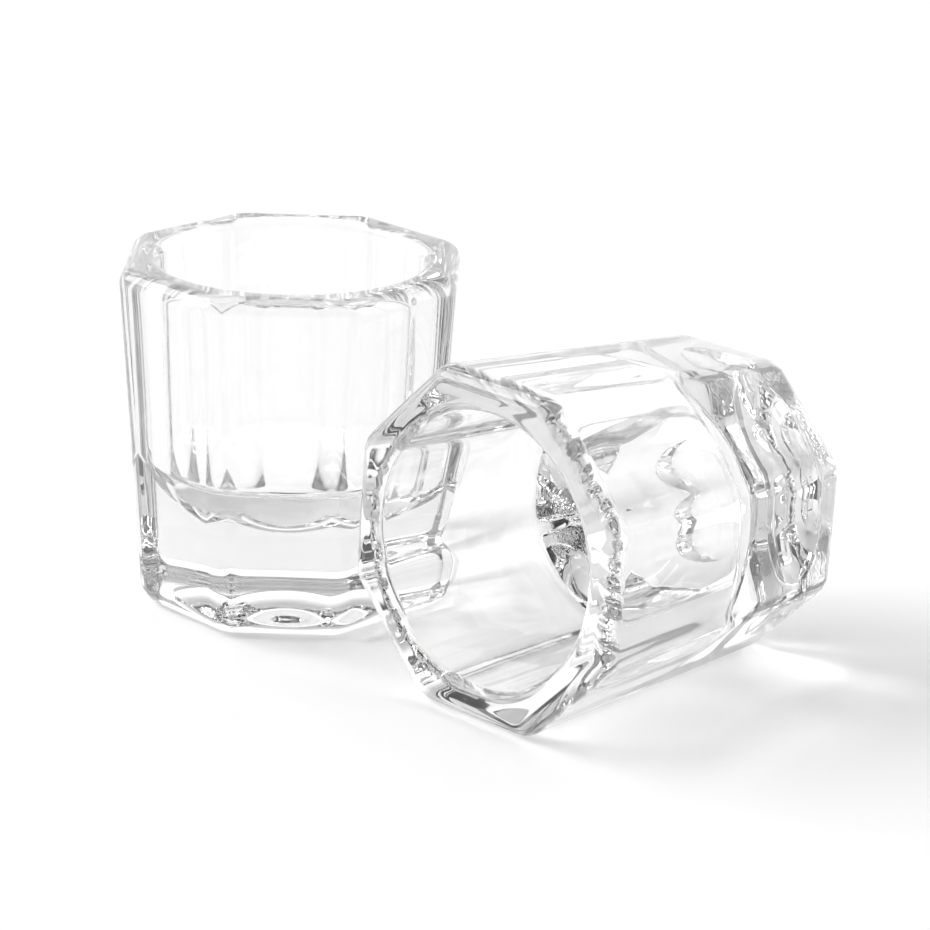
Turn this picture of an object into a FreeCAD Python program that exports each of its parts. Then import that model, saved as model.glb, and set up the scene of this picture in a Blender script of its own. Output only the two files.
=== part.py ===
import FreeCAD, Part

import os

import Sketcher

# A pair of clear pressed-glass dappen dishes, the small octagonal cups that hold the
# liquid and the powder for acrylic nails. One stands on its foot. The other lies beside
# it on one of its eight side faces, with its mouth towards -Y.
#
# Frame: millimetres, +Z up, origin on the table at the middle of the pair's footprint.
# Each dish is drawn in its own frame, foot at Z = 0 and mouth towards +Z, and its
# Placement then puts it where it stands or lies.

DRIVING = {
    # outside, an eight-sided cup whose straight sides lean outwards towards the rim
    "rim_corner_radius": 18.0,  # centre to a sharp corner of the octagon at the rim
    "foot_corner_radius": 15.8,  # the same at the foot, before its edge is rounded
    "dish_height": 35.4,
    "side_edge_rounding": 3.2,  # the eight upright edges
    "foot_edge_rounding": 2.5,
    "rim_edge_rounding": 1.7,
    # the round well
    "well_mouth_radius": 13.2,
    "well_floor_radius": 12.4,
    "well_floor_height": 14.8,  # where the wall would meet the top of the bowl
    "well_corner_rounding": 1.5,
    "bowl_depth": 6.2,  # how far the bowl sinks below the foot of the wall
    "mouth_rounding": 1.1,
    # the shallow dimple under the foot
    "dimple_radius": 8.0,
    "dimple_depth": 1.65,
    # where the dishes are, with the middle of their shared footprint at X = Y = 0
    "standing_across": -18.1,  # X and Y of the centre of the standing dish's foot
    "standing_along": -4.4,
    "standing_turn": -2.0,  # degrees about +Z
    "lying_across": 18.3,  # X and Y of the centre of the lying dish's foot
    "lying_along": 20.5,
    # how far the lying dish is lifted by hand, clear of the standing one
    "lift_travel": 45.0,
}

SIDES = 8
CORNER_TURN = 22.5  # degrees from the X axis to the first corner, so flats face X and Y
CLOSE = 0.01  # mm, for telling edges apart

# the sides' lean from upright, and a corner radius turned into the distance to a flat
TO_FLAT = f"cos({CORNER_TURN} deg)"
RIM_GAIN = "(Dimensions.rim_corner_radius - Dimensions.foot_corner_radius)"
LEAN = f"atan({RIM_GAIN} * {TO_FLAT} / Dimensions.dish_height)"


def fill_sheet(doc):
    """One row for each driving dimension: its name, its value and its alias."""
    sheet = doc.addObject("Spreadsheet::Sheet", "Dimensions")
    for row, (alias, value) in enumerate(DRIVING.items(), start=1):
        sheet.set(f"A{row}", alias)
        sheet.set(f"B{row}", str(value))
        sheet.setAlias(f"B{row}", alias)
    doc.recompute()
    return sheet


def origin_plane(body, role):
    for feature in body.Origin.OriginFeatures:
        if feature.Role == role:
            return feature
    raise ValueError(f"no origin plane {role}")


def new_sketch(body, name, role):
    sketch = body.newObject("Sketcher::SketchObject", name)
    sketch.AttachmentSupport = [(origin_plane(body, role), "")]
    sketch.MapMode = "FlatFace"
    return sketch


def bind(sketch, constraint, expression):
    """Add a named driving constraint and tie it to the sheet."""
    name, parts = constraint
    index = sketch.addConstraint(Sketcher.Constraint(*parts))
    sketch.renameConstraint(index, name)
    sketch.setExpression(f"Constraints.{name}", expression)
    return index


def octagon(body, name, radius_alias, radius):
    """An octagon about the origin, its corners on a construction circle."""
    sketch = new_sketch(body, name, "XY_Plane")
    centre = FreeCAD.Vector(0, 0, 0)
    up = FreeCAD.Vector(0, 0, 1)
    circle = sketch.addGeometry(Part.Circle(centre, up, radius), True)
    corners = []
    for side in range(SIDES):
        turn = FreeCAD.Rotation(up, CORNER_TURN + side * 360 / SIDES)
        corners.append(turn.multVec(FreeCAD.Vector(radius, 0, 0)))
    lines = []
    for side in range(SIDES):
        edge = Part.LineSegment(corners[side], corners[(side + 1) % SIDES])
        lines.append(sketch.addGeometry(edge, False))
    for side in range(SIDES):
        following = lines[(side + 1) % SIDES]
        sketch.addConstraint(Sketcher.Constraint("Coincident", lines[side], 2, following, 1))
        sketch.addConstraint(Sketcher.Constraint("PointOnObject", lines[side], 1, circle))
    for line in lines[1:]:
        sketch.addConstraint(Sketcher.Constraint("Equal", lines[0], line))
    sketch.addConstraint(Sketcher.Constraint("Coincident", circle, 3, -1, 1))
    sketch.addConstraint(Sketcher.Constraint("Vertical", lines[SIDES - 1]))
    bind(sketch, ("CornerRadius", ("Radius", circle, radius)), f"Dimensions.{radius_alias}")
    return sketch


def joined_sketch(body, name, pieces):
    """A closed outline in the XZ plane: each piece starts where the last one ends."""
    sketch = new_sketch(body, name, "XZ_Plane")
    ids = [sketch.addGeometry(piece, False) for piece, start, end in pieces]
    for index, (piece, start, end) in enumerate(pieces):
        following = (index + 1) % len(pieces)
        next_start = pieces[following][1]
        join = Sketcher.Constraint("Coincident", ids[index], end, ids[following], next_start)
        sketch.addConstraint(join)
    return sketch, ids


def arc_over_axis(rim_radius, rim_height, pole_height):
    """An arc centred on the axis, through its pole and a point of its rim."""
    rise = rim_height - pole_height
    radius = (rim_radius**2 + rise**2) / (2 * abs(rise))
    centre_height = pole_height + (radius if rise > 0 else -radius)
    pole = FreeCAD.Vector(0, pole_height, 0)
    rim = FreeCAD.Vector(rim_radius, rim_height, 0)
    half = FreeCAD.Vector(0, centre_height, 0) + (
        (pole + rim) * 0.5 - FreeCAD.Vector(0, centre_height, 0)
    ).normalize() * radius
    return Part.Arc(pole, half, rim)


def groove(body, name, sketch):
    cut = body.newObject("PartDesign::Groove", name)
    cut.Profile = sketch
    cut.ReferenceAxis = (sketch, ["V_Axis"])
    cut.Angle = 360
    return cut


def cut_well(body, size):
    """The round well: a nearly straight wall above a smooth bowl."""
    top = size["dish_height"]
    mouth = size["well_mouth_radius"]
    floor = size["well_floor_radius"]
    wall_foot = size["well_floor_height"]
    pole = wall_foot - size["bowl_depth"]
    point = FreeCAD.Vector
    pieces = [
        (arc_over_axis(floor, wall_foot, pole), 1, 2),
        (Part.LineSegment(point(floor, wall_foot, 0), point(mouth, top, 0)), 1, 2),
        (Part.LineSegment(point(mouth, top, 0), point(0, top, 0)), 1, 2),
        (Part.LineSegment(point(0, top, 0), point(0, pole, 0)), 1, 2),
    ]
    sketch, (bowl, wall, lid, axis) = joined_sketch(body, "WellProfile", pieces)
    sketch.addConstraint(Sketcher.Constraint("Horizontal", lid))
    sketch.addConstraint(Sketcher.Constraint("PointOnObject", lid, 2, -2))
    sketch.addConstraint(Sketcher.Constraint("Vertical", axis))
    sketch.addConstraint(Sketcher.Constraint("PointOnObject", bowl, 3, -2))
    bind(sketch, ("Top", ("DistanceY", -1, 1, lid, 1, top)), "Dimensions.dish_height")
    bind(sketch, ("Mouth", ("DistanceX", -1, 1, lid, 1, mouth)), "Dimensions.well_mouth_radius")
    bind(sketch, ("Floor", ("DistanceX", -1, 1, wall, 1, floor)), "Dimensions.well_floor_radius")
    wall_foot_expression = "Dimensions.well_floor_height"
    bind(sketch, ("WallFoot", ("DistanceY", -1, 1, wall, 1, wall_foot)), wall_foot_expression)
    pole_expression = "Dimensions.well_floor_height - Dimensions.bowl_depth"
    bind(sketch, ("Pole", ("DistanceY", -1, 1, axis, 2, pole)), pole_expression)
    return groove(body, "Well", sketch)


def cut_dimple(body, size):
    """The shallow dimple that leaves the foot standing on a flat ring."""
    rim = size["dimple_radius"]
    depth = size["dimple_depth"]
    point = FreeCAD.Vector
    pieces = [
        (arc_over_axis(rim, 0, depth), 1, 2),
        (Part.LineSegment(point(0, depth, 0), point(0, 0, 0)), 1, 2),
        (Part.LineSegment(point(0, 0, 0), point(rim, 0, 0)), 1, 2),
    ]
    sketch, (dome, axis, foot) = joined_sketch(body, "DimpleProfile", pieces)
    sketch.addConstraint(Sketcher.Constraint("Coincident", axis, 2, -1, 1))
    sketch.addConstraint(Sketcher.Constraint("Horizontal", foot))
    sketch.addConstraint(Sketcher.Constraint("PointOnObject", axis, 1, -2))
    sketch.addConstraint(Sketcher.Constraint("PointOnObject", dome, 3, -2))
    bind(sketch, ("Rim", ("DistanceX", -1, 1, foot, 2, rim)), "Dimensions.dimple_radius")
    bind(sketch, ("Depth", ("DistanceY", -1, 1, axis, 1, depth)), "Dimensions.dimple_depth")
    return groove(body, "Dimple", sketch)


def edge_names(shape, wanted):
    return [f"Edge{number}" for number, edge in enumerate(shape.Edges, 1) if wanted(edge)]


def round_edges(body, name, base, wanted, alias):
    names = edge_names(base.Shape, wanted)
    rounding = body.newObject("PartDesign::Fillet", name)
    rounding.Base = (base, names)
    rounding.setExpression("Radius", f"Dimensions.{alias}")
    body.Document.recompute()
    return rounding


def ends(edge):
    return [vertex.Point for vertex in edge.Vertexes]


def span_from_axis(edge):
    """The mean distance of an edge's ends from the dish's axis."""
    points = ends(edge)
    return sum((point.x**2 + point.y**2) ** 0.5 for point in points) / len(points)


def lies_at(edge, height):
    box = edge.BoundBox
    return abs(box.ZMin - height) < CLOSE and abs(box.ZMax - height) < CLOSE


def lean_sides(body, pad):
    """Leans the eight side faces outwards, turning them about the foot's edges."""
    draft = body.newObject("PartDesign::Draft", "LeaningSides")
    sides = []
    for number, face in enumerate(pad.Shape.Faces, 1):
        if abs(face.normalAt(0, 0).z) < CLOSE:
            sides.append(f"Face{number}")
    draft.Base = (pad, sides)
    draft.NeutralPlane = (origin_plane(body, "XY_Plane"), [""])
    draft.Reversed = True
    draft.setExpression("Angle", LEAN)
    body.Document.recompute()
    return draft


def build_dish(doc, label, size):
    """One dish of solid glass, drawn standing on its foot at the origin."""
    doc_name = label.title().replace("_", "")
    body = doc.addObject("PartDesign::Body", doc_name)
    body.Label = label
    pad = body.newObject("PartDesign::Pad", "Blank")
    pad.Profile = octagon(body, "FootOutline", "foot_corner_radius", size["foot_corner_radius"])
    pad.setExpression("Length", "Dimensions.dish_height")
    doc.recompute()
    blank = lean_sides(body, pad)

    def is_upright(edge):
        return edge.BoundBox.ZLength > size["dish_height"] / 2

    def is_foot_edge(edge):
        return lies_at(edge, 0) and span_from_axis(edge) > size["dimple_radius"] + CLOSE

    def is_rim_edge(edge):
        outside = span_from_axis(edge) > size["well_mouth_radius"] + CLOSE
        return lies_at(edge, size["dish_height"]) and outside

    def is_mouth_edge(edge):
        inside = abs(span_from_axis(edge) - size["well_mouth_radius"]) < CLOSE
        return lies_at(edge, size["dish_height"]) and inside

    def is_well_corner(edge):
        return lies_at(edge, size["well_floor_height"])

    shaped = round_edges(body, "SideEdges", blank, is_upright, "side_edge_rounding")
    shaped = round_edges(body, "FootEdge", shaped, is_foot_edge, "foot_edge_rounding")
    shaped = round_edges(body, "RimEdge", shaped, is_rim_edge, "rim_edge_rounding")
    shaped_volume = shaped.Shape.Volume
    well = cut_well(body, size)
    doc.recompute()
    well_volume = shaped_volume - well.Shape.Volume
    dimple = cut_dimple(body, size)
    doc.recompute()
    dimple_volume = well.Shape.Volume - dimple.Shape.Volume
    if well_volume <= 0 or dimple_volume <= 0:
        raise RuntimeError(f"{label}: a groove cut nothing")
    shaped = round_edges(body, "WellCorner", dimple, is_well_corner, "well_corner_rounding")
    round_edges(body, "MouthEdge", shaped, is_mouth_edge, "mouth_rounding")
    print(f"{label}: well {well_volume / 1000:.2f} ml, dimple {dimple_volume / 1000:.3f} ml")
    return body


def place_standing(body):
    body.setExpression(".Placement.Rotation.Angle", "Dimensions.standing_turn * 1 deg")
    body.setExpression(".Placement.Base.x", "Dimensions.standing_across")
    body.setExpression(".Placement.Base.y", "Dimensions.standing_along")


def place_lying(body):
    """Rests the dish on the side face below its axis, which slopes by the sides' lean."""
    body.Placement = FreeCAD.Placement(
        FreeCAD.Vector(0, 0, 0), FreeCAD.Rotation(FreeCAD.Vector(1, 0, 0), 90)
    )
    body.setExpression(".Placement.Rotation.Angle", f"90 deg - {LEAN}")
    body.setExpression(".Placement.Base.x", "Dimensions.lying_across")
    body.setExpression(".Placement.Base.y", "Dimensions.lying_along")
    axis_height = f"Dimensions.foot_corner_radius * {TO_FLAT} * cos({LEAN})"
    body.setExpression(".Placement.Base.z", axis_height)


def check_document(doc, bodies):
    for item in doc.Objects:
        if "Invalid" in item.State or "Error" in item.State:
            raise RuntimeError(f"{item.Label} is {item.State}")
    for body in bodies:
        shape = body.Shape
        if shape.isNull() or not shape.isValid() or len(shape.Solids) != 1:
            raise RuntimeError(f"{body.Label} is not one valid solid")


def check_lift(standing, lying, travel):
    """The lying dish must clear the standing one all the way up."""
    steps = 9
    for step in range(steps + 1):
        raised = lying.Shape.copy()
        raised.translate(FreeCAD.Vector(0, 0, travel * step / steps))
        gap = raised.distToShape(standing.Shape)[0]
        if gap < CLOSE:
            raise RuntimeError("the lying dish meets the standing one as it lifts")
        if step == 0:
            print(f"gap at rest {gap:.2f} mm")


def main():
    doc = FreeCAD.newDocument("DappenDishes")
    sheet = fill_sheet(doc)
    size = {alias: float(sheet.get(alias)) for alias in DRIVING}
    standing = build_dish(doc, "standing_dish", size)
    lying = build_dish(doc, "lying_dish", size)
    place_standing(standing)
    place_lying(lying)
    doc.recompute()
    bodies = [standing, lying]
    check_document(doc, bodies)
    check_lift(standing, lying, size["lift_travel"])
    os.makedirs("parts", exist_ok=True)
    for body in bodies:
        body.Shape.exportStep(f"parts/{body.Label}.step")
        box = body.Shape.optimalBoundingBox()
        low = f"{box.XMin:.2f} {box.YMin:.2f} {box.ZMin:.3f}"
        high = f"{box.XMax:.2f} {box.YMax:.2f} {box.ZMax:.2f}"
        volume = body.Shape.Volume / 1000
        print(f"{body.Label}: {low} to {high} mm, {volume:.2f} cubic cm of glass")


main()
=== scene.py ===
import math

import bpy
import numpy as np
from mathutils import Matrix, Vector


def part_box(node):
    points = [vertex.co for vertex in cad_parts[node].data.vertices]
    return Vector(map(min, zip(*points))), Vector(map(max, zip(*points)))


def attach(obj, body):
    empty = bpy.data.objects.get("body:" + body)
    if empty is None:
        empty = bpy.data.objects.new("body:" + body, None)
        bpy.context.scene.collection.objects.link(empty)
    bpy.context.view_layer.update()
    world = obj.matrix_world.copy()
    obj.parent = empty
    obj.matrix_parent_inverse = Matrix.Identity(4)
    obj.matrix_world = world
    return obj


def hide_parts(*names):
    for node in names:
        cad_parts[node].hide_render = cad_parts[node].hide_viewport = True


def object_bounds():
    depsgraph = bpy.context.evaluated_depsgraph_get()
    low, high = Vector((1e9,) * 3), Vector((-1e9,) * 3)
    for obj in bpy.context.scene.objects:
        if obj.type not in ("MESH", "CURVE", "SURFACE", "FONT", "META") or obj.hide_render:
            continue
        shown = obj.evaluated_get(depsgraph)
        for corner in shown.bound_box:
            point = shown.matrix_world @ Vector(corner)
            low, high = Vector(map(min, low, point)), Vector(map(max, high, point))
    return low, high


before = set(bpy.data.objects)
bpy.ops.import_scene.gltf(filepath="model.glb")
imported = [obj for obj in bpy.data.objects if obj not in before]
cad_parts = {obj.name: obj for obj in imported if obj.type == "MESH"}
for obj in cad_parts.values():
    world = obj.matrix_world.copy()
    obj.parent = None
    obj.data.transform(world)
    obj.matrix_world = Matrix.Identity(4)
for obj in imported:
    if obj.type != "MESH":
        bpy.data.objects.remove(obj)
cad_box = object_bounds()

# A pair of clear pressed-glass dappen dishes on a white table. Every size below is in
# millimetres, in a dish's own frame: foot on Z = 0, mouth towards +Z. Where each dish is
# comes from its node's box in the frame.

MM = 0.001

SIDES = 8
HALF_SIDE = math.pi / SIDES

# outside
DISH_HEIGHT = 35.4
FOOT_CORNER = 15.8  # centre to a corner of the octagon, before its rounding
RIM_CORNER = 18.0
FOOT_FLAT = FOOT_CORNER * math.cos(HALF_SIDE)  # centre to a side face, at the foot
RIM_FLAT = RIM_CORNER * math.cos(HALF_SIDE)  # and at the rim
LEAN = math.atan((RIM_FLAT - FOOT_FLAT) / DISH_HEIGHT)
SIDE_ROUNDING = 3.2  # the upright edges
SHARPEST_ROUNDING = 0.4  # what is left of it where the foot or the rim turns inwards
FOOT_ROUNDING = 2.5
RIM_ROUNDING = 1.7
# the round well
MOUTH_RADIUS = 13.2
FLOOR_RADIUS = 12.4
FLOOR_HEIGHT = 14.8  # where the wall would meet the top of the bowl
WELL_ROUNDING = 1.5
BOWL_DEPTH = 6.2
MOUTH_ROUNDING = 1.1
# the dimple under the foot
DIMPLE_RADIUS = 8.0
DIMPLE_DEPTH = 1.65

# how far the cooling glass draws in from its nominal shape
SIDE_HOLLOW = 0.05
WALL_WAVE = 0.1
WAVE_FIRST = (7, 0.3, 0.4)  # waves around the wall, share of the depth, phase
WAVE_SECOND = (12, 0.2)
WAVE_PITCH = 9.0  # height over which the second wave turns by one radian
WAVE_LOW = FLOOR_HEIGHT + 1.0  # the waves fade out towards the bowl and the lip
WAVE_HIGH = 34.0
WAVE_FADE = 4.0
RIM_SAG = 0.08
RIM_SAG_COUNT = 3
RIM_SAG_PHASE = 1.1
RIM_SAG_DEPTH = 1.5  # how far down from the rim's top the sag reaches

STANDING_TURN = math.radians(-2.0)


# ---------------------------------------------------------------- glass shapes

# mesh steps around a side, and along each part of the profile
FLAT_STEPS = 20
CORNER_STEPS = 10
DOME_STEPS = 22
FOOT_RING_STEPS = 8
FOOT_EDGE_STEPS = 14
SIDE_STEPS = 44
RIM_TOP_STEPS = 6
WALL_STEPS = 30
BOWL_STEPS = 30
ROUNDING_STEPS = 12
HALVINGS = 40  # to find the rounding between the wall and the bowl


def column_params():
    """For each mesh column: its side, and where it is on that side's flat or corner."""
    flats = [(-1 + 2 * i / FLAT_STEPS, 0.0) for i in range(FLAT_STEPS)]
    corners = [(1.0, i / CORNER_STEPS) for i in range(CORNER_STEPS)]
    return [(side, u, c) for side in range(SIDES) for u, c in flats + corners]


COLUMNS = column_params()


def octagon_ring(flat, rounding):
    """Points of an octagon with rounded corners; flat is its centre-to-side distance."""
    ring = []
    half_flat = (flat - rounding) * math.tan(HALF_SIDE)
    for side, u, c in COLUMNS:
        middle = side * 2 * HALF_SIDE
        turn = middle + c * 2 * HALF_SIDE
        x = flat - rounding
        y = u * half_flat
        ring.append((
            x * math.cos(middle) - y * math.sin(middle) + rounding * math.cos(turn),
            x * math.sin(middle) + y * math.cos(middle) + rounding * math.sin(turn),
        ))
    return np.array(ring)


NOMINAL = octagon_ring(RIM_FLAT, SIDE_ROUNDING)
DIRECTIONS = NOMINAL / np.linalg.norm(NOMINAL, axis=1)[:, None]


def circle_ring(radius):
    return DIRECTIONS * radius


def arc(start, end, steps):
    """Evenly spaced angles from start to end, both included."""
    return [start + (end - start) * i / steps for i in range(steps + 1)]


def side_flat(height):
    return FOOT_FLAT + height * math.tan(LEAN)


def corner_rounding(flat, height):
    """The upright edges' rounding shrinks as the foot or rim rounding turns inwards."""
    return max(SIDE_ROUNDING - (side_flat(height) - flat), SHARPEST_ROUNDING)


def blend_rings(first, second, steps, height):
    """Rows across a flat face, from one ring's shape to the other's."""
    rows = []
    for i in range(1, steps):
        share = i / steps
        rows.append((first * (1 - share) + second * share, height))
    return rows


def outside_rows():
    """From the middle of the dimple out over the foot, up the sides to the rim's top."""
    rows = []
    dome_radius = (DIMPLE_RADIUS**2 + DIMPLE_DEPTH**2) / (2 * DIMPLE_DEPTH)
    for i in range(1, DOME_STEPS + 1):
        r = DIMPLE_RADIUS * i / DOME_STEPS
        z = math.sqrt(dome_radius**2 - r**2) - (dome_radius - DIMPLE_DEPTH)
        rows.append((circle_ring(r), z))
    foot_middle = FOOT_FLAT + FOOT_ROUNDING * (math.tan(LEAN) - 1 / math.cos(LEAN))
    inner = octagon_ring(foot_middle, corner_rounding(foot_middle, 0))
    rows += blend_rings(circle_ring(DIMPLE_RADIUS), inner, FOOT_RING_STEPS, 0.0)
    for turn in arc(0, math.pi / 2 - LEAN, FOOT_EDGE_STEPS):
        z = FOOT_ROUNDING * (1 - math.cos(turn))
        flat = foot_middle + FOOT_ROUNDING * math.sin(turn)
        rows.append((octagon_ring(flat, corner_rounding(flat, z)), z))
    rim_centre = DISH_HEIGHT - RIM_ROUNDING
    rim_middle = side_flat(rim_centre) - RIM_ROUNDING / math.cos(LEAN)
    low = rows[-1][1]
    high = rim_centre - RIM_ROUNDING * math.sin(LEAN)
    for i in range(1, SIDE_STEPS):
        z = low + (high - low) * i / SIDE_STEPS
        rows.append((octagon_ring(side_flat(z), SIDE_ROUNDING), z))
    for turn in arc(-LEAN, math.pi / 2, ROUNDING_STEPS):
        z = rim_centre + RIM_ROUNDING * math.sin(turn)
        flat = rim_middle + RIM_ROUNDING * math.cos(turn)
        rows.append((octagon_ring(flat, corner_rounding(flat, z)), z))
    return rows


def inside_rows(rim_ring):
    """From the rim's top over the lip, down the well's wall and across its bowl."""
    rows = []
    wall_lean = math.atan((MOUTH_RADIUS - FLOOR_RADIUS) / (DISH_HEIGHT - FLOOR_HEIGHT))
    lip_centre = DISH_HEIGHT - MOUTH_ROUNDING
    wall_there = MOUTH_RADIUS - MOUTH_ROUNDING * math.tan(wall_lean)
    lip_middle = wall_there + MOUTH_ROUNDING / math.cos(wall_lean)
    rows += blend_rings(rim_ring, circle_ring(lip_middle), RIM_TOP_STEPS, DISH_HEIGHT)
    for turn in arc(math.pi / 2, math.pi + wall_lean, ROUNDING_STEPS):
        r = lip_middle + MOUTH_ROUNDING * math.cos(turn)
        rows.append((circle_ring(r), lip_centre + MOUTH_ROUNDING * math.sin(turn)))
    bowl_radius = (FLOOR_RADIUS**2 + BOWL_DEPTH**2) / (2 * BOWL_DEPTH)
    bowl_centre = FLOOR_HEIGHT - BOWL_DEPTH + bowl_radius
    # the corner's rounding touches both the wall and the bowl
    touch = bowl_radius - WELL_ROUNDING

    def off_wall(z):
        wall = MOUTH_RADIUS - (DISH_HEIGHT - z) * math.tan(wall_lean)
        return wall - WELL_ROUNDING / math.cos(wall_lean)

    below, above = FLOOR_HEIGHT, FLOOR_HEIGHT + 3 * WELL_ROUNDING
    for _ in range(HALVINGS):
        z = (below + above) / 2
        if math.hypot(off_wall(z), bowl_centre - z) > touch:
            below = z
        else:
            above = z
    corner_r, corner_z = off_wall(z), z
    bowl_turn = math.atan2(corner_r, bowl_centre - corner_z)
    high = rows[-1][1]
    low = corner_z - WELL_ROUNDING * math.sin(wall_lean)
    for i in range(1, WALL_STEPS):
        z = high + (low - high) * i / WALL_STEPS
        rows.append((circle_ring(off_wall(z) + WELL_ROUNDING / math.cos(wall_lean)), z))
    for turn in arc(-wall_lean, bowl_turn - math.pi / 2, ROUNDING_STEPS):
        r = corner_r + WELL_ROUNDING * math.cos(turn)
        rows.append((circle_ring(r), corner_z + WELL_ROUNDING * math.sin(turn)))
    for i in range(1, BOWL_STEPS):
        turn = bowl_turn * (1 - i / BOWL_STEPS)
        r = bowl_radius * math.sin(turn)
        rows.append((circle_ring(r), bowl_centre - bowl_radius * math.cos(turn)))
    return rows


def settle(grid, outside_count):
    """Shrinkage of the pressed glass: faces draw in by a little, and stay inside the CAD box."""
    turns = np.arctan2(grid[..., 1], grid[..., 0])
    spread = np.hypot(grid[..., 0], grid[..., 1])
    height = grid[..., 2]
    # each side face is a little hollow, most of all at half height
    share = np.array([1 - u * u if c == 0 else 0.0 for _, u, c in COLUMNS])
    upright = np.sin(np.pi * np.clip(height / DISH_HEIGHT, 0, 1))
    outside = np.arange(len(grid)) < outside_count
    on_side = (outside & (height[:, 0] > FOOT_ROUNDING))[:, None]
    hollow = SIDE_HOLLOW * share * upright * on_side
    # the plunger leaves slow waves around the well's wall
    rise = np.clip((height - WAVE_LOW) / WAVE_FADE, 0, 1)
    rise *= np.clip((WAVE_HIGH - height) / WAVE_FADE, 0, 1)
    count, depth, phase = WAVE_FIRST
    waves = 0.5 + depth * np.sin(count * turns + phase)
    count, depth = WAVE_SECOND
    waves += depth * np.sin(count * turns + height / WAVE_PITCH)
    bulge = WALL_WAVE * waves * rise * ~outside[:, None]
    factor = 1 - (hollow + bulge) / spread
    grid[..., 0] *= factor
    grid[..., 1] *= factor
    # and the rim sags between its highest points
    near_rim = np.clip((height - DISH_HEIGHT + RIM_SAG_DEPTH) / RIM_SAG_DEPTH, 0, 1)
    sags = 0.5 + 0.5 * np.sin(RIM_SAG_COUNT * turns + RIM_SAG_PHASE)
    grid[..., 2] -= RIM_SAG * near_rim * sags


def dish_mesh(name):
    """One closed skin: rows of columns, with a pole under the dimple and in the bowl."""
    outside = outside_rows()
    rows = outside + inside_rows(outside[-1][0])
    count = len(COLUMNS)
    grid = np.array([np.column_stack([ring, np.full(count, z)]) for ring, z in rows])
    settle(grid, len(outside))
    poles = np.array([[0, 0, DIMPLE_DEPTH], [0, 0, FLOOR_HEIGHT - BOWL_DEPTH]])
    points = np.vstack([grid.reshape(-1, 3), poles])
    faces = []
    for row in range(len(rows) - 1):
        for column in range(count):
            following = (column + 1) % count
            low, high = row * count, (row + 1) * count
            faces.append((low + column, low + following, high + following, high + column))
    under, over = len(points) - 2, len(points) - 1
    last = (len(rows) - 1) * count
    for column in range(count):
        following = (column + 1) % count
        faces.append((under, following, column))
        faces.append((last + column, last + following, over))
    mesh = bpy.data.meshes.new(name)
    mesh.from_pydata((points * MM).tolist(), [], faces)
    mesh.shade_smooth()
    # where each point is in the dish's own frame, for the surface texture
    own = mesh.attributes.new("own_place", "FLOAT_VECTOR", "POINT")
    own.data.foreach_set("vector", points.ravel())
    return mesh


def add_dish(node, turn):
    """A dish turned from its own frame and set into the box of the node it stands for."""
    mesh = dish_mesh(node + "_glass")
    mesh.transform(turn)
    corners = np.empty(len(mesh.vertices) * 3)
    mesh.vertices.foreach_get("co", corners)
    corners = corners.reshape(-1, 3)
    low, high = (np.array(corner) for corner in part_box(node))
    shift = (low + high) / 2 - (corners.min(axis=0) + corners.max(axis=0)) / 2
    mesh.transform(Matrix.Translation(Vector(shift)))
    piece = bpy.data.objects.new(node + "_glass", mesh)
    bpy.context.collection.objects.link(piece)
    return piece


# ---------------------------------------------------------------- materials


GLASS_INDEX = 1.52
RIPPLE_SCALE = 0.5  # per millimetre
RIPPLE_STRETCH = 0.12  # the ripples' rate along the dish's height, against that across it
RIPPLE_HEIGHT = 0.01
STIPPLE_SCALE = 2.0
STIPPLE_HEIGHT = 0.018
STIPPLE_TOP = 0.25  # the stipple fades out up to this height over the foot
GLASS_TINT = (0.0, 0.0, 0.0, 1.0)
GLASS_DENSITY = 7.0  # per metre
TABLE_SHADE = 0.97


def new_material(name):
    material = bpy.data.materials.new(name)
    material.use_nodes = True
    tree = material.node_tree
    tree.nodes.clear()
    output = tree.nodes.new("ShaderNodeOutputMaterial")
    return material, tree, output


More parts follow.
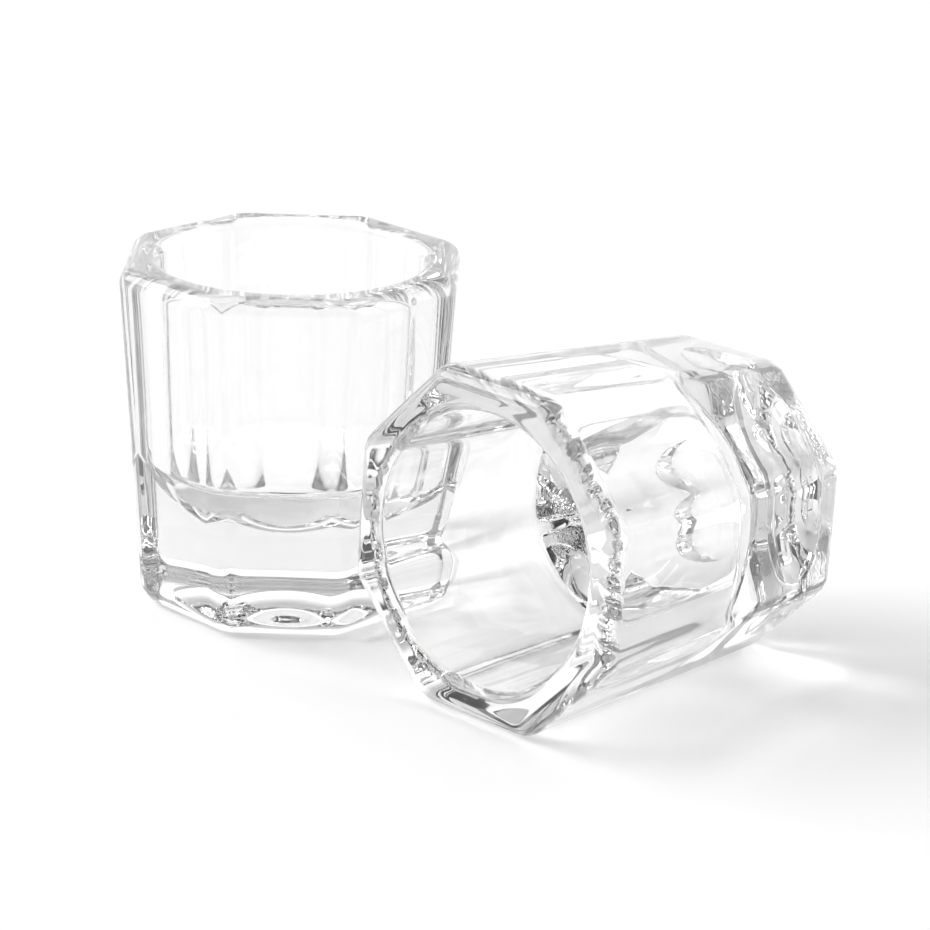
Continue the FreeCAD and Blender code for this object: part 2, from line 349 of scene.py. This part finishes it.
def glass_material():
    """Clear pressed glass: faint mould ripples, and a stippled ring under the foot."""
    material, tree, output = new_material("clear_glass")
    shader = tree.nodes.new("ShaderNodeBsdfPrincipled")
    shader.inputs["Base Color"].default_value = (1.0, 1.0, 1.0, 1.0)
    shader.inputs["Roughness"].default_value = 0.0
    shader.inputs["IOR"].default_value = GLASS_INDEX
    shader.inputs["Transmission Weight"].default_value = 1.0
    tree.links.new(shader.outputs["BSDF"], output.inputs["Surface"])

    place = tree.nodes.new("ShaderNodeAttribute")
    place.attribute_name = "own_place"

    # upright ripples, stretched along the dish's height
    stretch = tree.nodes.new("ShaderNodeMapping")
    stretch.inputs["Scale"].default_value = (1.0, 1.0, RIPPLE_STRETCH)
    ripples = tree.nodes.new("ShaderNodeTexNoise")
    ripples.inputs["Scale"].default_value = RIPPLE_SCALE
    ripples.inputs["Detail"].default_value = 1.0
    ripple_bump = tree.nodes.new("ShaderNodeBump")
    ripple_bump.inputs["Strength"].default_value = 1.0
    ripple_bump.inputs["Distance"].default_value = RIPPLE_HEIGHT * MM
    tree.links.new(place.outputs["Vector"], stretch.inputs["Vector"])
    tree.links.new(stretch.outputs["Vector"], ripples.inputs["Vector"])
    tree.links.new(ripples.outputs["Fac"], ripple_bump.inputs["Height"])

    # the stipple is only on the flat ring that the dish stands on
    parts = tree.nodes.new("ShaderNodeSeparateXYZ")
    ring = tree.nodes.new("ShaderNodeMapRange")
    ring.inputs["From Min"].default_value = 0.0
    ring.inputs["From Max"].default_value = STIPPLE_TOP
    ring.inputs["To Min"].default_value = 1.0
    ring.inputs["To Max"].default_value = 0.0
    grains = tree.nodes.new("ShaderNodeTexNoise")
    grains.inputs["Scale"].default_value = STIPPLE_SCALE
    grains.inputs["Detail"].default_value = 1.0
    masked = tree.nodes.new("ShaderNodeMath")
    masked.operation = "MULTIPLY"
    stipple_bump = tree.nodes.new("ShaderNodeBump")
    stipple_bump.inputs["Strength"].default_value = 1.0
    stipple_bump.inputs["Distance"].default_value = STIPPLE_HEIGHT * MM
    tree.links.new(place.outputs["Vector"], parts.inputs["Vector"])
    tree.links.new(parts.outputs["Z"], ring.inputs["Value"])
    tree.links.new(place.outputs["Vector"], grains.inputs["Vector"])
    tree.links.new(grains.outputs["Fac"], masked.inputs[0])
    tree.links.new(ring.outputs["Result"], masked.inputs[1])
    tree.links.new(masked.outputs["Value"], stipple_bump.inputs["Height"])
    tree.links.new(ripple_bump.outputs["Normal"], stipple_bump.inputs["Normal"])
    tree.links.new(stipple_bump.outputs["Normal"], shader.inputs["Normal"])

    # long paths through the glass come out a little darker
    depth = tree.nodes.new("ShaderNodeVolumeAbsorption")
    depth.inputs["Color"].default_value = GLASS_TINT
    depth.inputs["Density"].default_value = GLASS_DENSITY
    tree.links.new(depth.outputs["Volume"], output.inputs["Volume"])
    return material


def floor_material():
    material, tree, output = new_material("white_table")
    shader = tree.nodes.new("ShaderNodeBsdfPrincipled")
    shader.inputs["Base Color"].default_value = (TABLE_SHADE, TABLE_SHADE, TABLE_SHADE, 1.0)
    shader.inputs["Roughness"].default_value = 0.9
    shader.inputs["Specular IOR Level"].default_value = 0.1
    tree.links.new(shader.outputs["BSDF"], output.inputs["Surface"])
    return material


# ---------------------------------------------------------------- stage, light, camera

TABLE_RADIUS = 3.0  # metres
TABLE_SIDES = 64
TABLE_GAP = 0.02  # keeps the table's top off the faces that rest on it

# the studio around the dishes, as levels of light from each direction
BACK_LEVEL = 1.8
TOP_LEVEL = 0.92
TOP_FROM = 0.45  # the back level turns into the top one between these sines of elevation
TOP_TO = 0.85
DARK_LEVEL = 0.06
DARK_SIDE = (0.6, -0.8, -0.3)
DARK_FROM = 0.02  # and into the dark one between these cosines from the dark side
DARK_TO = 0.1
SEEN_LEVEL = 1.05  # what the camera sees past the edge of the table

KEY_PLACE = (-2.2, -1.6, 2.0)  # metres
KEY_SIZE = 2.4
KEY_POWER = 84.0


def add_floor():
    mesh = bpy.data.meshes.new("table")
    rim = []
    for i in range(TABLE_SIDES):
        turn = 2 * math.pi * i / TABLE_SIDES
        rim.append((TABLE_RADIUS * math.cos(turn), TABLE_RADIUS * math.sin(turn), 0.0))
    mesh.from_pydata(rim, [], [list(range(TABLE_SIDES))])
    mesh.materials.append(floor_material())
    table = bpy.data.objects.new("table", mesh)
    bpy.context.collection.objects.link(table)
    table.location.z = cad_box[0][2] - TABLE_GAP * MM


def look_matrix(place, aim, roll=0.0):
    """A camera or lamp at place whose -Z looks at aim."""
    ahead = (aim - place).normalized()
    right = ahead.cross(Vector((0, 0, 1))).normalized()
    up = right.cross(ahead)
    turned_right = right * math.cos(roll) - up * math.sin(roll)
    turned_up = right * math.sin(roll) + up * math.cos(roll)
    columns = Matrix((turned_right, turned_up, -ahead)).transposed()
    return Matrix.Translation(place) @ columns.to_4x4()


CAMERA_AZIMUTH = math.radians(43.96)
CAMERA_ELEVATION = math.radians(19.27)
CAMERA_ROLL = math.radians(-1.33)
CAMERA_DISTANCE = 372 * MM
CAMERA_AIM = Vector((-8.6, 11.05, 12.1)) * MM
LENS = 140.9


def add_camera():
    back = Vector((
        math.sin(CAMERA_AZIMUTH) * math.cos(CAMERA_ELEVATION),
        -math.cos(CAMERA_AZIMUTH) * math.cos(CAMERA_ELEVATION),
        math.sin(CAMERA_ELEVATION),
    ))
    camera = bpy.data.cameras.new("camera")
    camera.lens = LENS
    camera.clip_start = 0.01
    holder = bpy.data.objects.new("camera", camera)
    bpy.context.collection.objects.link(holder)
    place = CAMERA_AIM + back * CAMERA_DISTANCE
    holder.matrix_world = look_matrix(place, CAMERA_AIM, CAMERA_ROLL)
    bpy.context.scene.camera = holder


def add_world():
    """A pale studio: bright all round, dimmer overhead, dark on the side of the photo camera."""
    world = bpy.data.worlds.new("studio")
    world.use_nodes = True
    bpy.context.scene.world = world
    tree = world.node_tree
    tree.nodes.clear()
    output = tree.nodes.new("ShaderNodeOutputWorld")
    background = tree.nodes.new("ShaderNodeBackground")
    coordinates = tree.nodes.new("ShaderNodeTexCoord")

    def towards(direction, start, end, first, last):
        """A level that eases from first to last as the view turns towards a direction."""
        facing = tree.nodes.new("ShaderNodeVectorMath")
        facing.operation = "DOT_PRODUCT"
        facing.inputs[1].default_value = Vector(direction).normalized()
        ease = tree.nodes.new("ShaderNodeMapRange")
        ease.interpolation_type = "SMOOTHSTEP"
        ease.inputs["From Min"].default_value = start
        ease.inputs["From Max"].default_value = end
        ease.inputs["To Min"].default_value = first
        ease.inputs["To Max"].default_value = last
        tree.links.new(coordinates.outputs["Generated"], facing.inputs[0])
        tree.links.new(facing.outputs["Value"], ease.inputs["Value"])
        return ease.outputs["Result"]

    pale = towards((0, 0, 1), TOP_FROM, TOP_TO, BACK_LEVEL, TOP_LEVEL)
    shade = towards(DARK_SIDE, DARK_FROM, DARK_TO, 0.0, 1.0)
    level = tree.nodes.new("ShaderNodeMix")
    level.inputs["B"].default_value = DARK_LEVEL
    path = tree.nodes.new("ShaderNodeLightPath")
    seen = tree.nodes.new("ShaderNodeMix")
    seen.inputs["B"].default_value = SEEN_LEVEL
    tree.links.new(shade, level.inputs["Factor"])
    tree.links.new(pale, level.inputs["A"])
    tree.links.new(path.outputs["Is Camera Ray"], seen.inputs["Factor"])
    tree.links.new(level.outputs["Result"], seen.inputs["A"])
    tree.links.new(seen.outputs["Result"], background.inputs["Strength"])
    tree.links.new(background.outputs["Background"], output.inputs["Surface"])


def add_softbox(name, place, aim, width, height, power):
    lamp = bpy.data.lights.new(name, "AREA")
    lamp.shape = "RECTANGLE"
    lamp.size = width
    lamp.size_y = height
    lamp.energy = power
    holder = bpy.data.objects.new(name, lamp)
    bpy.context.collection.objects.link(holder)
    holder.matrix_world = look_matrix(Vector(place), Vector(aim))


scene = bpy.context.scene
scene.view_settings.view_transform = "Standard"
scene.cycles.max_bounces = 32
scene.cycles.glossy_bounces = 24
scene.cycles.transmission_bounces = 24
scene.cycles.blur_glossy = 0.0

glass = glass_material()
# the lying dish rests on a side face, so its axis slopes by the sides' lean
turns = {
    "standing_dish": Matrix.Rotation(STANDING_TURN, 4, "Z"),
    "lying_dish": Matrix.Rotation(math.pi / 2 - LEAN, 4, "X"),
}
for node, turn in turns.items():
    piece = add_dish(node, turn)
    piece.data.materials.append(glass)
    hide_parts(node)
    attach(piece, node)

add_floor()
add_world()
add_softbox("key", KEY_PLACE, (0, 0, 0), KEY_SIZE, KEY_SIZE, KEY_POWER)
add_camera()
